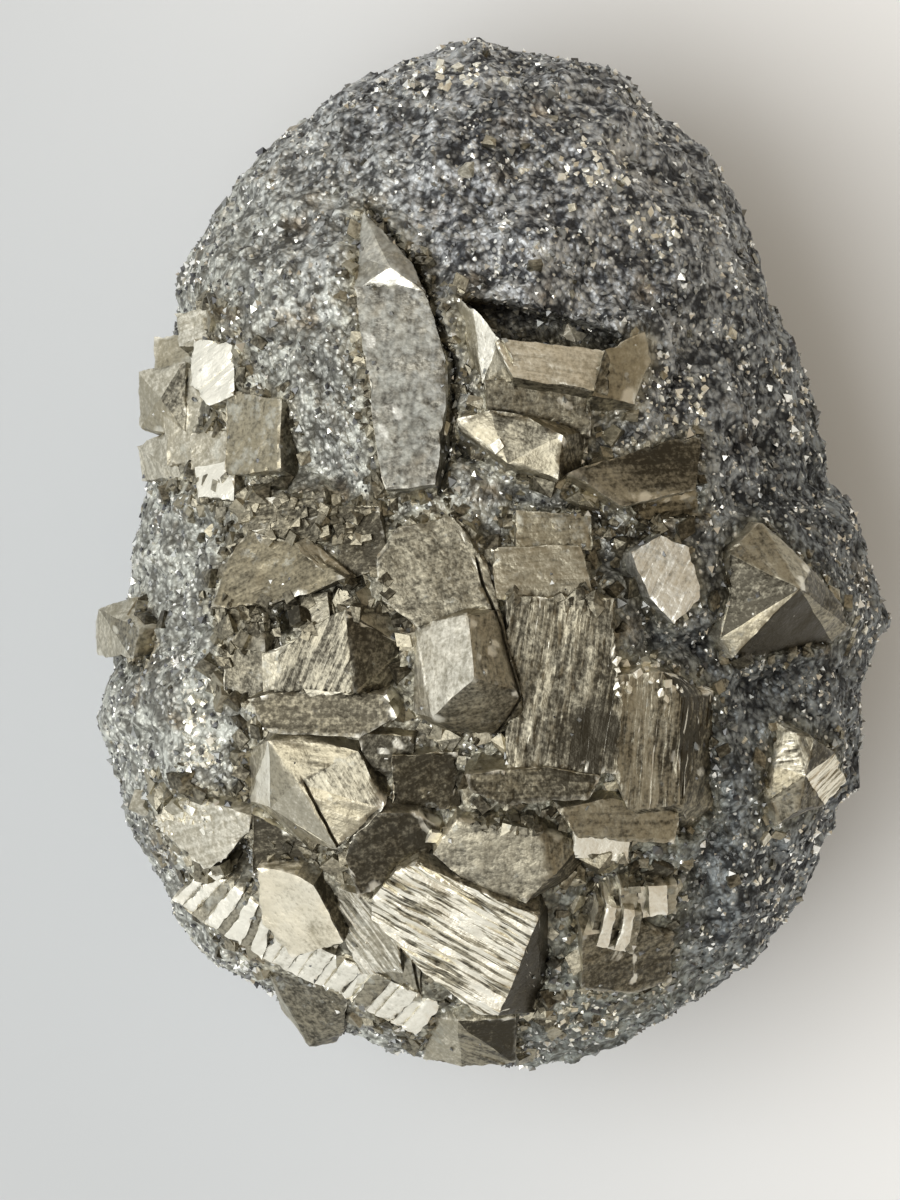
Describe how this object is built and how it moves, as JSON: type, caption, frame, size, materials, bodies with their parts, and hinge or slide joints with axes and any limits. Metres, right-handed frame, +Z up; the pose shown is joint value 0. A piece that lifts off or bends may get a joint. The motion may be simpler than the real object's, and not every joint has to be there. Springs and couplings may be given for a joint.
{
  "type": "marcasite nodule",
  "caption": "Egg-shaped lump of grey granular iron sulphide with brassy blocky and striated crystals set in it, lying on a small flat spot",
  "frame": {"origin": "centre of the bounding box, on the plane that the nodule rests on", "axes": "+Z up, away from the flat spot; +Y along the length, towards the narrow end; +X to the right, seen from above"},
  "size_m": [0.0472, 0.061, 0.0405],
  "materials": {
    "granular_sulphide": "grey granular metallic sulphide with bright glints",
    "brassy_crystal": "pale brassy metallic crystal faces, striated",
    "pale_crystal": "silver-grey metallic crystal faces, pitted",
    "brown_crystal": "brown tarnished metallic crystal faces"
  },
  "bodies": {
    "root": {"nodule_matrix": "granular_sulphide", "main_crystal_cluster": "brassy_crystal", "upper_crystals": "brassy_crystal", "tall_crystal": "pale_crystal", "left_edge_cluster": "brassy_crystal", "pale_crystal": "pale_crystal", "pyramid_crystal": "brown_crystal", "nugget": "brassy_crystal", "stepped_cluster": "brassy_crystal", "tip_crystal": "brown_crystal", "left_side_crystal": "brassy_crystal", "front_side_crystal": "brassy_crystal", "right_side_crystal": "brassy_crystal", "back_side_crystal": "brassy_crystal"}
  },
  "joints": []
}
